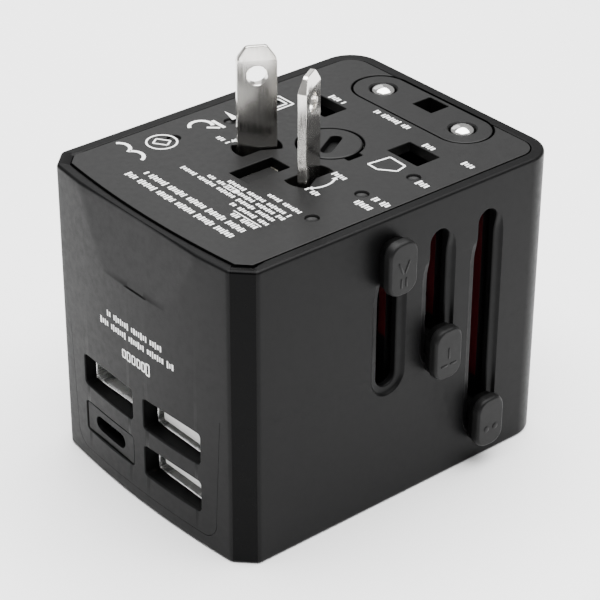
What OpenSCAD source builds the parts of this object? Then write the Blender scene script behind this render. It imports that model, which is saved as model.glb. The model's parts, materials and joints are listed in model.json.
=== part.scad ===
// Universal travel adapter with three pin sliders, four USB ports and a universal socket.
// The origin is the centre of the socket face, +Z points up through the pin face,
// +X points out through the slider side and -Y out through the USB side.

/* [Housing] */
// Width of the housing, from side to side
body_w = 49; // [48.6:0.2:50]
// Depth of the housing, from the corner of the USB side to the back
body_d = 64; // [64:0.2:65]
// Height of the housing
body_h = 52; // [52:0.1:52.4]
// Height of the seam between the lower and the upper housing
seam_z = 25; // [24.6:0.1:25.4]
// Wall thickness of the housing
wall = 1.7; // [1.6:0.05:1.8]
// How far the USB side bulges out at its middle
bulge = 1.3; // [0.8:0.1:1.6]
// Size of the flat on the two corners beside the USB side
corner_flat = 3.1; // [2.8:0.1:3.4]
// Radius of the two rounded back corners
back_radius = 5.6; // [5.2:0.1:5.8]
// Size of the bevel round the top and bottom edges
bevel = 0.6; // [0.4:0.1:0.8]

/* [Pin face] */
// Thickness of the pin face plate
plate_t = 1.7; // [1.5:0.1:1.8]
// Width of the rim round the pin face plate
rim = 2.1; // [2:0.05:2.2]
// Gap round the pin face plate
plate_gap = 0.1; // [0.08:0.01:0.15]

/* [Sliders] */
// Width of each slider slot
slot_w = 3.9; // [3.8:0.1:4.1]
// Height of the top end of the slots
slot_top = 46.4; // [46.2:0.1:46.6]
// Width of a slider knob
knob_w = 6; // [5.6:0.1:6.2]
// Height of a slider knob
knob_h = 9.4; // [9:0.1:9.6]
// How far the knobs stand out from the side
knob_out = 3.1; // [2.6:0.1:3.2]

/* [Pins] */
// Length of the American and Australian blades above the pin face
blade_out = 17.4; // [16:0.1:17.6]
// Angle of the blades in the Australian position
blade_turn = 30; // [28:1:32]
// Stroke of the British pins
uk_stroke = 19; // [18.6:0.1:19]
// Stroke of the European pins
eu_stroke = 36; // [35.6:0.1:36]
// Rise of the block that carries the European pins
block_rise = 16.8; // [16.5:0.1:17]

/* [Hidden] */
$fn = 48;
eps = 0.01;
hw = body_w / 2;
hd = body_d / 2;
bulge_r = (pow(hw - corner_flat, 2) + pow(bulge, 2)) / (2 * bulge);
bulge_y = -hd - bulge + bulge_r;
bulge_fn = 360;
plate_z = body_h - plate_t;
cavity_top = plate_z - 1.2;
rail_in = 19.8;
rail_out = 21.4;

// slider slots: place along the side, rest height of the knob and length of the stroke below it
us_y = -3.2;
uk_y = 6.9;
eu_y = 17;
knob_up = 44.4;
us_stroke = 20.4;
uk_rest = knob_up - uk_stroke;
eu_rest = knob_up - eu_stroke;
slot_reach = 2;
neck_w = slot_w - 0.6;
neck_h = 3.4;
neck_cut = 0.9;
neck_in = 19.4;
knob_r = 2.4;
knob_gap = 0.2;
dish_w = 6.6;
dish_depth = 0.6;
rail_w = 1.5;
rail_bar = 2;

// carriers: their levels from the centre of their knob, and the edges of their bars in plan
bar_low = -1;
bar_high = 2.6;
arm_half = 1.7;
us_bar_front = -3.9;
us_bar_back = -0.7;
hub_ring_r = 3.7;
uk_left = -19;
uk_left_w = 3;
uk_riser = 12;
uk_riser_w = 3.2;
uk_bar_front = 2.2;
uk_bar_back = 1.9;
eu_left = -13;
eu_riser = 14.6;
eu_riser_w = 2.8;
eu_bar_half = 2.8;

// pins
blade_x = 6.35;
blade_y = -4.2;
blade_w = 6.35;
blade_t = 1.5;
blade_hole_r = 1.6;
blade_hole_z = body_h + 12.6;
blade_foot = knob_up + 3.4;
blade_tip_cut = 1.3;
blade_tip_h = 2;
tang_half = 2.2;
tang_bottom = knob_up - 0.6;
blade_slot_r = 4.3;
blade_slot_w = 3.8;
hub_r = 2.8;
hub_h = 4.3;
hub_fit = 0.06;
flange_t = 0.7;
uk_x = 11.1;
uk_pin_y = 13.2;
uk_pin_w = 6.35;
uk_pin_t = 3.95;
uk_earth_y = -8.95;
uk_earth_w = 4;
uk_earth_l = 7.95;
uk_tip = body_h - 3;
uk_earth_tip = body_h - 1.2;
uk_tip_cut = 1.2;
uk_tang_w = 2;
uk_tang_l = 1.2;
sleeve_t = 0.5;
sleeve_show = 7;
eu_x = 9.5;
eu_pin_y = 25.2;
eu_pin_r = 2;
eu_stem_r = 1.5;
eu_tip = body_h + 0.5;
eu_dome = 1;
eu_dome_r = 2.5;
block_x = 9.85;
block_y = 25.1;
block_r = 4.7;
block_gap = 0.35;
block_bottom = 30.4;
guide_y = 27.05;
guide_half = [2.25, 1.9];
guide_depth = 12;

// fuse
fuse_y = 5.5;
cap_r = 5.2;
cap_gap = 0.3;
cap_stem_r = 2.9;
clip_r = 4.4;
fuse_r = 2.5;
fuse_end = 4;
fuse_bottom = 27.4;
fuse_top = 47.4;

// USB ports: places on the USB side and sizes of their openings
port_left = -8.5;
port_right = 8;
port_low = 9.05;
port_high = 17.85;
port_w = 13.6;
port_h = 5.5;
port_back = -29.6;
port_block = 16.6;
shell_w = 13.1;
shell_h = 5.2;
shell_t = 0.3;
shell_front = -hd + 1.3;
tongue_front = shell_front + 0.5;
tongue_bottom = -1.55;
tongue_t = 1.85;
bezel_back = -31;
usb_c_w = 8.7;
usb_c_h = 2.9;
board_y = -18;
board_t = 1.2;

// tongue of the upper housing that holds the USB ports
tongue_top = 19.3;
tongue_low = 18.25;
tongue_z = 2.4;
tongue_r = 3;

// socket in the bottom face
socket_y = 10.2;
socket_earth_y = socket_y - 22.2;
floor_t = 1.8;
shutter_z = 2.2;
shutter_t = 1.4;
contact_low = 4.4;
contact_high = 20.2;
contact_x = 9.8;
contact_half = 4.8;
earth_half = [2.4, 4.3];
strip_t = 0.6;

// screws
screw_front = [20.2, -26];
screw_back = [20.2, 26.8];
screw_r = 1;
screw_l = 30;
screw_head_r = 1.9;
screw_head_t = 1;
boss_r = 2.1;

// insulating partition
partition_z = 20.7;
partition_t = 1.2;

// parts on the circuit board
coil_low = [-16.4, board_y + 3.6, 6.2];
coil_high = [-6.6, board_y + 10.2, 15.8];
core_t = 1.2;
capacitor_r = 4;
capacitor_l = 9;

// ---------- helpers ----------

module box(low, high) {
    translate(low) cube(high - low);
}

module stadium(length, radius) {
    for (side = [-1, 1]) translate([side * length / 2, 0]) circle(r = radius);
    square([length, 2 * radius], center = true);
}

// Outline of the housing seen from above, moved in by inset
module plan(inset) {
    w = hw - inset;
    d = hd - inset;
    cut = corner_flat - inset * (2 - sqrt(2));
    r = back_radius - inset;
    intersection() {
        union() {
            polygon([[-w, cut - d], [cut - w, -d], [cut - w, -d - 3], [w - cut, -d - 3],
                [w - cut, -d], [w, cut - d], [w, d - r], [-w, d - r]]);
            translate([r - w, 0]) square([2 * (w - r), d]);
            for (side = [-1, 1]) translate([side * (w - r), d - r]) circle(r = r);
        }
        translate([0, bulge_y]) circle(r = bulge_r - inset, $fn = bulge_fn);
    }
}

module plan_block(inset, low, high) {
    translate([0, 0, low]) linear_extrude(high - low) plan(inset);
}

// Prism along Y that bevels the top and bottom edges of the two sides
module side_bevels() {
    translate([0, body_d, 0]) rotate([90, 0, 0]) linear_extrude(2 * body_d)
        polygon([[bevel - hw, 0], [hw - bevel, 0], [hw, bevel], [hw, body_h - bevel],
            [hw - bevel, body_h], [bevel - hw, body_h], [-hw, body_h - bevel], [-hw, bevel]]);
}

// Prism along X that bevels the top and bottom edges of the back
module back_bevels() {
    translate([-body_w, 0, 0]) rotate([90, 0, 90]) linear_extrude(2 * body_w)
        polygon([[-body_d, 0], [hd - bevel, 0], [hd, bevel], [hd, body_h - bevel],
            [hd - bevel, body_h], [-body_d, body_h]]);
}

// Slot in the slider side for one neck, with the shallow dish round it
module slider_slot(y, low) {
    middle = (slot_top + low) / 2;
    run = slot_top - low - slot_w;
    translate([hw - 3, y, middle]) rotate([90, 0, 90]) rotate(90)
        linear_extrude(4) stadium(run, slot_w / 2);
    translate([hw - dish_depth, y, middle]) rotate([90, 0, 90]) rotate(90)
        linear_extrude(2) stadium(run, dish_w / 2);
}

module slider_slots() {
    slider_slot(us_y, knob_up - us_stroke - slot_reach);
    slider_slot(uk_y, uk_rest - slot_reach);
    slider_slot(eu_y, eu_rest - slot_reach);
}

// Front view outline of the tongue, moved out by gap
module tongue_outline(gap) {
    low = tongue_z - gap;
    side = tongue_low + gap;
    polygon([[-tongue_top - gap, seam_z + 1], [-side, low + tongue_r], [tongue_r - side, low],
        [side - tongue_r, low], [side, low + tongue_r], [tongue_top + gap, seam_z + 1]]);
    for (end = [-1, 1]) translate([end * (side - tongue_r), low + tongue_r]) circle(r = tongue_r);
}

module tongue_block(gap) {
    translate([0, 3 - hd, 0]) rotate([90, 0, 0]) linear_extrude(8) tongue_outline(gap);
}

module port_hole(x, z, width, height, depth) {
    translate([x - width / 2, -hd - 3, z - height / 2]) cube([width, depth, height]);
}

module at_screws() {
    for (side = [-1, 1]) {
        translate([side * screw_front[0], screw_front[1], 0]) children();
        translate([side * screw_back[0], screw_back[1], 0]) children();
    }
}

// Room for the parts behind one of the two corner flats
module corner_wall(side, low, high) {
    box([side * hw - 4, -hd, low], [side * hw + 4, -hd + 4.5, high]);
}

// Openings of the universal socket for one side, in plan
module socket_hole(side) {
    translate([side * uk_x, socket_y]) square([7.2, 4.8], center = true);
    translate([side * eu_x, socket_y]) circle(r = 2.6);
    for (turn = [0, blade_turn]) translate([side * blade_x, socket_y]) rotate(-side * turn)
        square([2.2, 7.4], center = true);
}

module earth_hole(low, high) {
    box([-earth_half[0], socket_earth_y - earth_half[1], low],
        [earth_half[0], socket_earth_y + earth_half[1], high]);
}

// ---------- housing ----------

module lower_housing() color([0.09, 0.09, 0.1]) {
    difference() {
        intersection() {
            plan_block(0, 0, seam_z);
            side_bevels();
            back_bevels();
        }
        difference() {
            plan_block(wall, floor_t, seam_z + 1);
            at_screws() cylinder(r = boss_r, h = seam_z + 1);
            for (side = [-1, 1]) corner_wall(side, 0, seam_z + 2);
        }
        tongue_block(0.1);
        slider_slots();
        for (side = [-1, 1]) translate([0, 0, -1]) linear_extrude(4) socket_hole(side);
        earth_hole(-1, 4);
        at_screws() {
            translate([0, 0, -1]) cylinder(r = screw_r + 0.2, h = seam_z + 2);
            translate([0, 0, -1]) cylinder(r = screw_head_r + 0.1, h = 1.2 + screw_head_t);
        }
    }
}

module upper_housing() color([0.09, 0.09, 0.1]) {
    difference() {
        union() {
            intersection() {
                plan_block(0, seam_z, body_h);
                side_bevels();
                back_bevels();
            }
            intersection() {
                plan_block(0, 0, seam_z + 0.5);
                tongue_block(0);
            }
        }
        difference() {
            plan_block(wall, -1, cavity_top);
            at_screws() cylinder(r = boss_r, h = body_h);
            for (side = [-1, 1]) corner_wall(side, seam_z, body_h);
            box([-port_block, -hd - 2, 0], [port_block, port_back, port_high + 3.8]);
        }
        at_screws() translate([0, 0, -1]) cylinder(r = screw_r, h = screw_l + 5);
        plan_block(rim + 1, 30, body_h + 1);
        plan_block(rim, plate_z, body_h + 1);
        translate([0, block_y, 30]) linear_extrude(25) stadium(2 * block_x, block_r + block_gap + 0.05);
        slider_slots();
        for (x = [port_left, port_right]) for (z = [port_low, port_high])
            port_hole(x, z, port_w, port_h, 6);
    }
}

module blade_slot_shape() {
    intersection() {
        circle(r = blade_slot_r);
        for (turn = [0:blade_turn / 3:blade_turn]) rotate(turn)
            square([blade_slot_w, 3 * blade_slot_r], center = true);
    }
}

module pin_face_plate() color([0.13, 0.13, 0.14]) {
    difference() {
        plan_block(rim + plate_gap, plate_z, body_h);
        translate([0, 0, plate_z - 1]) linear_extrude(plate_t + 2) {
            translate([blade_x, blade_y]) blade_slot_shape();
            mirror([1, 0]) translate([blade_x, blade_y]) blade_slot_shape();
            for (side = [-1, 1]) translate([side * uk_x, uk_pin_y]) square([6.95, 4.66], center = true);
            translate([0, uk_earth_y]) square([4.5, 8.4], center = true);
            translate([0, block_y]) stadium(2 * block_x, block_r + block_gap);
        }
        translate([0, fuse_y, plate_z - 1]) cylinder(r = cap_r + cap_gap, h = plate_t + 2);
        translate([cap_r, fuse_y - 1.6, body_h - 0.8]) cube([1.1, 3, 1]);
        for (spot = [[17, -12.5], [16, -1.8], [17, 7.9]]) for (side = [-1, 1])
            translate([side * spot[0], spot[1], body_h - 0.5]) cylinder(r = 1.15, h = 1);
    }
}

// Opening in the partition, given by two corners in plan
module partition_cut(low, high) {
    box([low[0], low[1], partition_z - 1], [high[0], high[1], partition_z + 4]);
}

// Wall across the inside between the socket and the sliders
module insulating_partition() color([0.2, 0.2, 0.22]) {
    difference() {
        plan_block(wall + 0.1, partition_z, partition_z + partition_t);
        partition_cut([eu_left - 0.6, eu_pin_y - eu_bar_half - 0.6], [eu_riser - 0.6, hd]);
        partition_cut([eu_riser - 0.7, eu_y - arm_half - 0.7], [19, 29]);
        partition_cut([18, -8], [hw, 22.5]);
        earth_hole(partition_z - 1, partition_z + 4);
        partition_cut([-hw, 3.5], [-20.9, 10.5]);
        partition_cut([5.6, 3.5], [7.4, 7.5]);
        partition_cut([-hw, -hd - 2], [hw, board_y + board_t + 0.2]);
        at_screws() translate([0, 0, partition_z - 1]) cylinder(r = boss_r + 0.3, h = 4);
    }
}

// Rails that guide the necks of the three sliders behind the slots
module guide_frame() color([0.35, 0.07, 0.06]) {
    reach = slot_w / 2 + rail_w;
    for (y = [us_y, uk_y, eu_y]) {
        box([rail_in, y - reach, floor_t], [rail_out, y - reach + rail_w, cavity_top]);
        box([rail_in, y + reach - rail_w, floor_t], [rail_out, y + reach, cavity_top]);
    }
    for (low = [floor_t, cavity_top - rail_bar])
        box([rail_in, us_y - reach, low], [rail_out, eu_y + reach, low + rail_bar]);
}

// ---------- sliders ----------

// Knob of a slider, with a neck whose cut corners clear the round ends of the slot
module knob(y, z) {
    back = hw + knob_gap;
    translate([back, y, z]) rotate([90, 0, 90]) linear_extrude(knob_out - knob_gap) knob_outline();
    translate([neck_in, y, z]) rotate([90, 0, 90]) linear_extrude(back - neck_in + eps) neck_outline();
}

module knob_outline() {
    square([knob_w, knob_h - 2 * knob_r], center = true);
    square([knob_w - 2 * knob_r, knob_h], center = true);
    for (sy = [-1, 1]) for (sz = [-1, 1])
        translate([sy * (knob_w / 2 - knob_r), sz * (knob_h / 2 - knob_r)]) circle(r = knob_r);
}

module neck_outline() {
    w = neck_w / 2;
    h = neck_h / 2;
    polygon([[neck_cut - w, -h], [w - neck_cut, -h], [w, neck_cut - h], [w, h - neck_cut],
        [w - neck_cut, h], [neck_cut - w, h], [-w, h - neck_cut], [-w, neck_cut - h]]);
}

// Part of a carrier, given by two corners in plan and the height of the knob's centre
module bar(low, high, z) {
    box([low[0], low[1], z + bar_low], [high[0], high[1], z + bar_high]);
}

module aus_us_knob() color([0.16, 0.16, 0.17]) knob(us_y, knob_up);

module aus_us_carrier() color([0.12, 0.12, 0.13]) {
    difference() {
        union() {
            bar([-blade_x, us_bar_front], [blade_x, us_bar_back], knob_up);
            bar([blade_x, us_y - arm_half], [neck_in, us_y + arm_half], knob_up);
            for (side = [-1, 1]) translate([side * blade_x, blade_y, knob_up + bar_low])
                cylinder(r = hub_ring_r, h = bar_high - bar_low);
        }
        for (side = [-1, 1]) translate([side * blade_x, blade_y, knob_up - 5])
            cylinder(r = hub_r + hub_fit, h = 12);
    }
}

// A blade turned to the Australian position, with its narrow tang inside the hub
module blade(side) {
    w = blade_w / 2;
    tip = body_h + blade_out;
    translate([side * blade_x, blade_y, 0]) rotate(side * blade_turn) difference() {
        translate([-blade_t / 2, 0, 0]) rotate([90, 0, 90]) linear_extrude(blade_t)
            polygon([[-tang_half, tang_bottom], [tang_half, tang_bottom], [tang_half, blade_foot],
                [w, blade_foot], [w, tip - blade_tip_h], [w - blade_tip_cut, tip], [blade_tip_cut - w, tip],
                [-w, tip - blade_tip_h], [-w, blade_foot], [-tang_half, blade_foot]]);
        translate([-2, 0, blade_hole_z]) rotate([0, 90, 0]) cylinder(r = blade_hole_r, h = 4);
    }
}

module blade_hub(side) {
    translate([side * blade_x, blade_y, 0]) rotate(side * blade_turn) difference() {
        union() {
            translate([0, 0, knob_up + bar_low - 0.1]) cylinder(r = hub_r, h = hub_h);
            translate([0, 0, knob_up + bar_low - 0.1 - flange_t]) cylinder(r = hub_r + 0.7, h = flange_t);
            translate([0, 0, knob_up + bar_high + 0.1]) cylinder(r = hub_r + 0.5, h = flange_t);
        }
        box([-blade_t / 2, -tang_half, tang_bottom], [blade_t / 2, tang_half, knob_up + 10]);
    }
}

module left_blade() color([0.8, 0.8, 0.78]) blade(-1);

module left_blade_hub() color([0.85, 0.85, 0.8]) blade_hub(-1);

module right_blade() color([0.8, 0.8, 0.78]) blade(1);

module right_blade_hub() color([0.85, 0.85, 0.8]) blade_hub(1);

module uk_knob() color([0.16, 0.16, 0.17]) knob(uk_y, uk_rest);

module uk_carrier() color([0.12, 0.12, 0.13]) {
    difference() {
        union() {
            bar([uk_left, uk_pin_y - uk_bar_front], [uk_riser + uk_riser_w, uk_pin_y + uk_bar_back], uk_rest);
            bar([uk_left, uk_earth_y - 4.2], [uk_left + uk_left_w, uk_pin_y + uk_bar_back], uk_rest);
            bar([uk_left, uk_earth_y - 4.2], [uk_bar_front, uk_earth_y - 0.3], uk_rest);
            bar([uk_riser, uk_y - arm_half], [uk_riser + uk_riser_w, uk_pin_y], uk_rest);
            bar([uk_riser, uk_y - arm_half], [neck_in, uk_y + arm_half], uk_rest);
        }
        for (side = [-1, 1]) uk_tang(side);
        uk_earth_tang();
    }
}

// Square tang that holds a British pin in its carrier
module uk_tang(side) {
    box([side * uk_x - uk_tang_w, uk_pin_y - uk_tang_l, uk_rest + bar_low],
        [side * uk_x + uk_tang_w, uk_pin_y + uk_tang_l, uk_rest + bar_high]);
}

module uk_earth_tang() {
    box([-1.3, uk_earth_y - 3.2, uk_rest + bar_low], [1.3, uk_earth_y - 1.2, uk_rest + bar_high]);
}

// Rectangular pin with a bevelled tip
module flat_pin(w, l, low, tip, chamfer) {
    box([-w / 2, -l / 2, low], [w / 2, l / 2, tip - chamfer]);
    intersection() {
        rotate([90, 0, 0]) translate([0, 0, -l / 2]) linear_extrude(l)
            polygon([[-w / 2, low], [w / 2, low], [w / 2, tip - chamfer], [w / 2 - chamfer / 2, tip],
                [chamfer / 2 - w / 2, tip], [-w / 2, tip - chamfer]]);
        rotate([90, 0, 90]) translate([0, 0, -w / 2]) linear_extrude(w)
            polygon([[-l / 2, low], [l / 2, low], [l / 2, tip - chamfer], [l / 2 - chamfer / 2, tip],
                [chamfer / 2 - l / 2, tip], [-l / 2, tip - chamfer]]);
    }
}

module uk_line_pin(side) {
    bottom = uk_rest + bar_high;
    difference() {
        union() {
            translate([side * uk_x, uk_pin_y, 0]) flat_pin(uk_pin_w, uk_pin_t, bottom, uk_tip, uk_tip_cut);
            uk_tang(side);
        }
        uk_sleeve(side);
    }
}

// Insulating sleeve round the lower part of a live or neutral pin
module uk_sleeve(side) {
    low = uk_rest + bar_high;
    high = body_h - uk_stroke + sleeve_show;
    w = uk_pin_w / 2;
    l = uk_pin_t / 2;
    translate([side * uk_x, uk_pin_y, 0]) difference() {
        box([-w, -l, low], [w, l, high]);
        box([sleeve_t - w, sleeve_t - l, low - 1], [w - sleeve_t, l - sleeve_t, high + 1]);
    }
}

module uk_live_pin() color([0.8, 0.78, 0.7]) uk_line_pin(1);

module uk_neutral_pin() color([0.8, 0.78, 0.7]) uk_line_pin(-1);

module uk_pin_sleeves() color([0.1, 0.1, 0.1]) for (side = [-1, 1]) uk_sleeve(side);

// The adapter has no earth, so this pin is plastic and only opens the shutter of a British socket
module uk_earth_pin() color([0.1, 0.1, 0.1]) {
    bottom = uk_rest + bar_high;
    translate([0, uk_earth_y, 0]) flat_pin(uk_earth_w, uk_earth_l, bottom, uk_earth_tip, uk_tip_cut);
    uk_earth_tang();
}

module eu_knob() color([0.16, 0.16, 0.17]) knob(eu_y, eu_rest);

module eu_carrier() color([0.12, 0.12, 0.13]) {
    difference() {
        union() {
            bar([eu_left, eu_pin_y - eu_bar_half], [eu_riser + eu_riser_w, eu_pin_y + eu_bar_half], eu_rest);
            bar([eu_riser, eu_y - arm_half], [eu_riser + eu_riser_w, eu_pin_y], eu_rest);
            bar([eu_riser, eu_y - arm_half], [neck_in, eu_y + arm_half], eu_rest);
        }
        for (side = [-1, 1]) translate([side * eu_x, eu_pin_y, 0]) cylinder(r = eu_stem_r, h = body_h);
    }
}

module eu_pin(side) {
    translate([side * eu_x, eu_pin_y, 0]) {
        translate([0, 0, eu_rest + bar_low]) cylinder(r = eu_stem_r, h = bar_high - bar_low + eps);
        translate([0, 0, eu_rest + bar_high]) cylinder(r = eu_pin_r, h = eu_tip - eu_dome - eu_rest - bar_high);
        translate([0, 0, eu_tip - eu_dome]) rotate_extrude() intersection() {
            square([eu_pin_r, 2]);
            translate([0, eu_dome - eu_dome_r]) circle(r = eu_dome_r);
        }
    }
}

module eu_live_pin() color([0.85, 0.85, 0.85]) eu_pin(1);

module eu_neutral_pin() color([0.85, 0.85, 0.85]) eu_pin(-1);

module eu_block() color([0.13, 0.13, 0.14]) {
    difference() {
        translate([0, block_y, block_bottom]) linear_extrude(body_h - block_bottom)
            stadium(2 * block_x, block_r);
        for (side = [-1, 1]) translate([side * eu_x, eu_pin_y, block_bottom - 1])
            cylinder(r = eu_pin_r + 0.2, h = 30);
        box([-guide_half[0], guide_y - guide_half[1], body_h - guide_depth],
            [guide_half[0], guide_y + guide_half[1], body_h + 1]);
    }
}

// ---------- fuse ----------

module fuse_cap() color([0.13, 0.13, 0.14]) {
    difference() {
        union() {
            translate([0, fuse_y, plate_z]) cylinder(r = cap_r, h = plate_t);
            translate([0, fuse_y, fuse_top + 0.1]) cylinder(r = cap_stem_r, h = plate_z - fuse_top);
        }
        translate([0.4, fuse_y - 0.1, body_h - 1.2]) rotate(120) linear_extrude(2) stadium(4.9, 0.85);
    }
}

module fuse_tube() color([0.8, 0.85, 0.85]) {
    translate([0, fuse_y, fuse_bottom + fuse_end])
        cylinder(r = fuse_r - 0.2, h = fuse_top - fuse_bottom - 2 * fuse_end);
}

module fuse_end_caps() color([0.8, 0.8, 0.8]) {
    for (z = [fuse_bottom, fuse_top - fuse_end]) translate([0, fuse_y, z]) cylinder(r = fuse_r, h = fuse_end);
}

// Tube that holds the fuse and the stem of its cap
module fuse_clip() color([0.2, 0.2, 0.22]) {
    difference() {
        translate([0, fuse_y, fuse_bottom - strip_t]) cylinder(r = clip_r, h = plate_z - fuse_bottom - 0.4);
        translate([0, fuse_y, fuse_bottom - 2]) cylinder(r = fuse_r, h = fuse_top - fuse_bottom + 2);
        translate([0, fuse_y, fuse_top - 0.1]) cylinder(r = cap_stem_r + 0.06, h = 5);
    }
}

// ---------- conductors and socket ----------

module live_busbar() color([0.85, 0.65, 0.3]) {
    top = fuse_bottom - strip_t;
    box([6.2, 4, contact_high], [6.2 + strip_t, 7, top]);
    box([-1.5, 4, top - strip_t], [6.2 + strip_t, 7, top]);
    box([6.2, 4, contact_high], [9, 8, contact_high + strip_t / 2]);
    translate([0, fuse_y, top - eps]) cylinder(r = 1.5, h = strip_t + eps);
}

module neutral_busbar() color([0.85, 0.65, 0.3]) {
    box([-21.8, 5, 12], [-21.8 + strip_t, 9, 46]);
    box([-21.8, 5, contact_high], [-8, 8, contact_high + strip_t / 2]);
}

// Forked strip behind one side of the socket
module line_contact(side) {
    low = side * contact_x - contact_half;
    high = side * contact_x + contact_half;
    for (y = [socket_y - 3.4, socket_y + 3.4 - strip_t])
        box([low, y, contact_low], [high, y + strip_t, contact_high]);
    box([low, socket_y - 3.4, contact_high - strip_t], [high, socket_y + 3.4, contact_high]);
}

module live_contact() color([0.85, 0.65, 0.3]) line_contact(1);

module neutral_contact() color([0.85, 0.65, 0.3]) line_contact(-1);

// Plate that closes the live and neutral openings until it is pushed back
module safety_shutter() color([0.85, 0.85, 0.82]) {
    difference() {
        box([-15.2, socket_y - 4.4, shutter_z], [15.2, socket_y + 4.2, shutter_z + shutter_t]);
        box([-2, socket_y - 5, 0], [2, socket_y - 1.5, 10]);
    }
}

module shutter_spring() color([0.7, 0.7, 0.7]) {
    for (turn = [0:5]) translate([0, socket_y - 1.9 - turn * 1.4, shutter_z + 1])
        rotate([90, 0, 0]) rotate_extrude($fn = 24) translate([0.9, 0]) circle(r = 0.2, $fn = 16);
}

// ---------- USB ----------

module usb_circuit_board() color([0.05, 0.25, 0.12]) {
    box([-17.2, board_y, 3], [17.2, board_y + board_t, 23]);
}

// Pressed steel shell of a USB-A port
module usb_a_shell(x, z) {
    translate([x, 0, z]) difference() {
        box([-shell_w / 2, shell_front, -shell_h / 2], [shell_w / 2, board_y, shell_h / 2]);
        box([shell_t - shell_w / 2, shell_front - 1, shell_t - shell_h / 2],
            [shell_w / 2 - shell_t, board_y - shell_t, shell_h / 2 - shell_t]);
    }
}

// White tongue of a USB-A port
module usb_a_insert(x, z) {
    inner = shell_w / 2 - shell_t;
    roof = shell_h / 2 - shell_t;
    translate([x, 0, z]) {
        box([-inner, board_y - 2.5, -roof], [inner, board_y - shell_t, roof]);
        box([0.7 - inner, tongue_front, tongue_bottom], [inner - 0.7, board_y - 2.4, tongue_bottom + tongue_t]);
    }
}

module usb_a_port_1() color([0.75, 0.75, 0.76]) usb_a_shell(port_left, port_high);

module usb_a_port_2() color([0.75, 0.75, 0.76]) usb_a_shell(port_right, port_high);

module usb_a_port_3() color([0.75, 0.75, 0.76]) usb_a_shell(port_right, port_low);

module usb_a_insert_1() color([0.92, 0.92, 0.9]) usb_a_insert(port_left, port_high);

module usb_a_insert_2() color([0.92, 0.92, 0.9]) usb_a_insert(port_right, port_high);

module usb_a_insert_3() color([0.92, 0.92, 0.9]) usb_a_insert(port_right, port_low);

// Stadium prism along Y, used for the USB-C port
module usb_c_prism(width, height, front, back) {
    translate([port_left, back, port_low]) rotate([90, 0, 0]) linear_extrude(back - front)
        stadium(width - height, height / 2);
}

module usb_c_port() color([0.75, 0.75, 0.76]) {
    difference() {
        usb_c_prism(9, 3.2, shell_front, board_y);
        usb_c_prism(8.4, 2.6, shell_front - 1, board_y - 1.2);
    }
}

module usb_c_insert() color([0.1, 0.1, 0.1]) {
    box([port_left - 3.3, shell_front + 1.4, port_low - 0.35], [port_left + 3.3, board_y - 1.2, port_low + 0.35]);
}

module usb_c_bezel() color([0.1, 0.1, 0.11]) {
    difference() {
        intersection() {
            port_hole(port_left, port_low, port_w - 0.1, port_h - 0.1, hd + 3 + bezel_back);
            plan_block(0.12, 0, seam_z);
        }
        usb_c_prism(usb_c_w, usb_c_h, -hd - 5, board_y);
    }
}

module transformer() color([0.85, 0.7, 0.15]) {
    box(coil_low, coil_high);
}

module transformer_core() color([0.2, 0.2, 0.2]) {
    difference() {
        box([coil_low[0] - core_t, board_y + board_t, coil_low[2] - core_t],
            [coil_high[0] + core_t, coil_high[1] + core_t, coil_high[2] + core_t]);
        box([coil_low[0], coil_low[1], 0], [coil_high[0], coil_high[1], seam_z]);
    }
}

module capacitors() color([0.15, 0.2, 0.45]) {
    for (z = [7.6, 7.8 + 2 * capacitor_r]) translate([11, board_y + board_t, z])
        rotate([-90, 0, 0]) cylinder(r = capacitor_r, h = capacitor_l);
}

module housing_screws() color([0.7, 0.7, 0.7]) at_screws() {
    difference() {
        translate([0, 0, 0.2]) cylinder(r = screw_head_r, h = screw_head_t);
        for (turn = [0, 90]) rotate(turn) translate([-1.1, -0.3, -1]) cube([2.2, 0.6, 1.8]);
    }
    translate([0, 0, 0.2 + screw_head_t - eps]) cylinder(r = screw_r, h = screw_l);
}

lower_housing();
upper_housing();
pin_face_plate();
insulating_partition();
guide_frame();
aus_us_knob();
aus_us_carrier();
left_blade();
left_blade_hub();
right_blade();
right_blade_hub();
uk_knob();
uk_carrier();
uk_live_pin();
uk_neutral_pin();
uk_earth_pin();
uk_pin_sleeves();
eu_knob();
eu_carrier();
eu_live_pin();
eu_neutral_pin();
eu_block();
fuse_cap();
fuse_tube();
fuse_end_caps();
fuse_clip();
live_busbar();
neutral_busbar();
live_contact();
neutral_contact();
safety_shutter();
shutter_spring();
usb_circuit_board();
usb_a_port_1();
usb_a_port_2();
usb_a_port_3();
usb_a_insert_1();
usb_a_insert_2();
usb_a_insert_3();
usb_c_port();
usb_c_insert();
usb_c_bezel();
transformer();
transformer_core();
capacitors();
housing_screws();
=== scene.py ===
"""Looks of the universal travel adapter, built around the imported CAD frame. All lengths are in metres."""

import json
import math

import bmesh
import bpy
from mathutils import Matrix, Vector


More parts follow.
